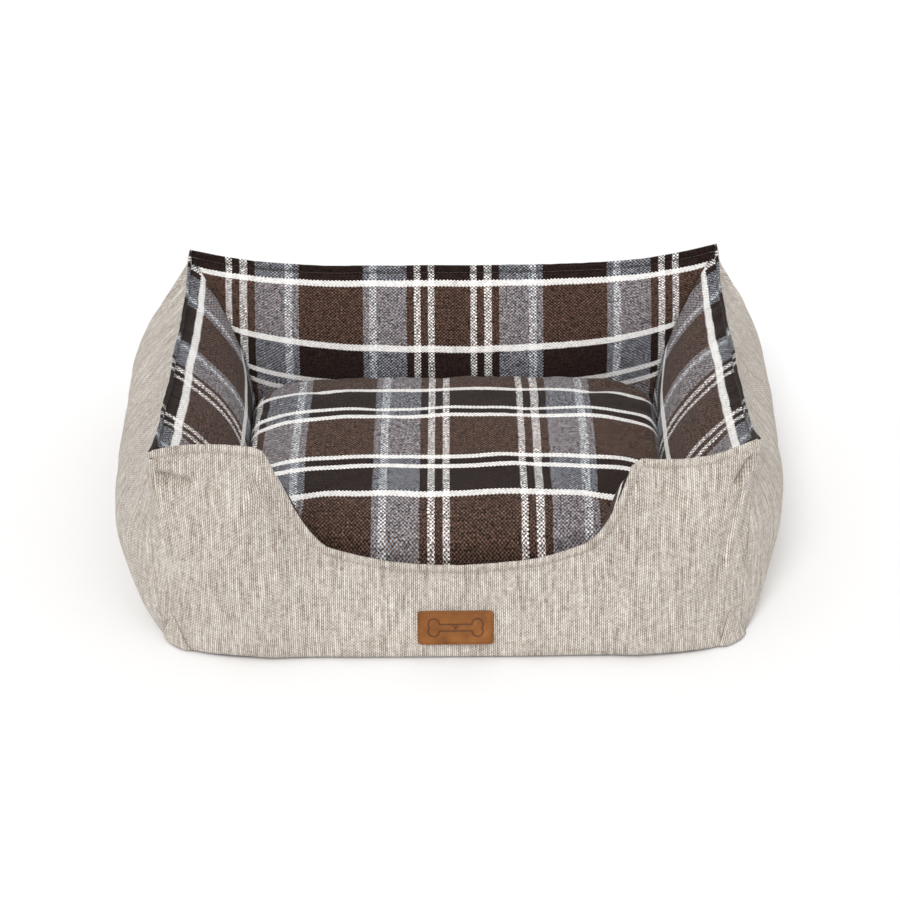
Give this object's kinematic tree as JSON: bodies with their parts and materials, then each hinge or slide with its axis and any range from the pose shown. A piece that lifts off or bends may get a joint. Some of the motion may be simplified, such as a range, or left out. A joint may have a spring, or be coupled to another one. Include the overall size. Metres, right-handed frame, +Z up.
{
  "type": "pet cushion bed",
  "caption": "Rectangular pet bed with stuffed walls, a wide dip in the front wall to step in through, a plaid lining and a loose zipped cushion.",
  "frame": {"origin": "on the ground under the middle of the bed", "axes": "+X to the right along the long side, +Y from the front dip to the back wall, +Z up"},
  "size_m": [0.7226, 0.5597, 0.233],
  "materials": {
    "oat_fabric": "linen-look woven cloth, oat with lighter and darker slubs",
    "plaid_fabric": "woven plaid in brown, grey and white",
    "fibre_filling": "white polyester fibre stuffing",
    "base_foam": "soft foam sheet",
    "base_cloth": "dark non-slip base cloth",
    "label_leather": "tan leather, embossed",
    "zip_tape": "woven zip tape",
    "zip_nylon": "nylon zip coil",
    "zip_metal": "painted zip hardware"
  },
  "bodies": {
    "nest": {"base_fabric": "base_cloth", "base_pad": "base_foam", "floor_lining": "plaid_fabric", "front_filling": "fibre_filling", "front_outer_panel": "oat_fabric", "back_filling": "fibre_filling", "back_outer_panel": "oat_fabric", "left_filling": "fibre_filling", "left_outer_panel": "oat_fabric", "right_filling": "fibre_filling", "right_outer_panel": "oat_fabric", "front_lining": "plaid_fabric", "back_lining_left": "plaid_fabric", "back_lining_right": "plaid_fabric", "left_lining": "plaid_fabric", "right_lining": "plaid_fabric", "front_right_gusset": "oat_fabric", "right_back_gusset": "oat_fabric", "back_left_gusset": "oat_fabric", "left_front_gusset": "oat_fabric", "label_patch": "label_leather"},
    "cushion": {"cushion_top_cover": "plaid_fabric", "cushion_bottom_cover": "plaid_fabric", "cushion_filling": "fibre_filling", "zip_tape_upper": "zip_tape", "zip_tape_lower": "zip_tape", "zip_teeth": "zip_nylon", "zip_stop_left": "zip_metal", "zip_stop_right": "zip_metal"},
    "zip_slider": {"zip_slider_body": "zip_metal"},
    "zip_pull": {"zip_pull_tab": "zip_metal"}
  },
  "joints": [
    {"name": "cushion_lift", "type": "slide", "parent": "nest", "child": "cushion", "axis": [0, 0, 1], "range_m": [0, 0.3]},
    {"name": "zip_slide", "type": "slide", "parent": "cushion", "child": "zip_slider", "axis": [1, 0, 0], "range_m": [-0.2836, 0]},
    {"name": "zip_pull_swing", "type": "hinge", "parent": "zip_slider", "child": "zip_pull", "pos_m": [0.1418, 0.14526, 0.04949], "axis": [0, -0.4402, -0.8979], "range_deg": [0, 170]}
  ]
}
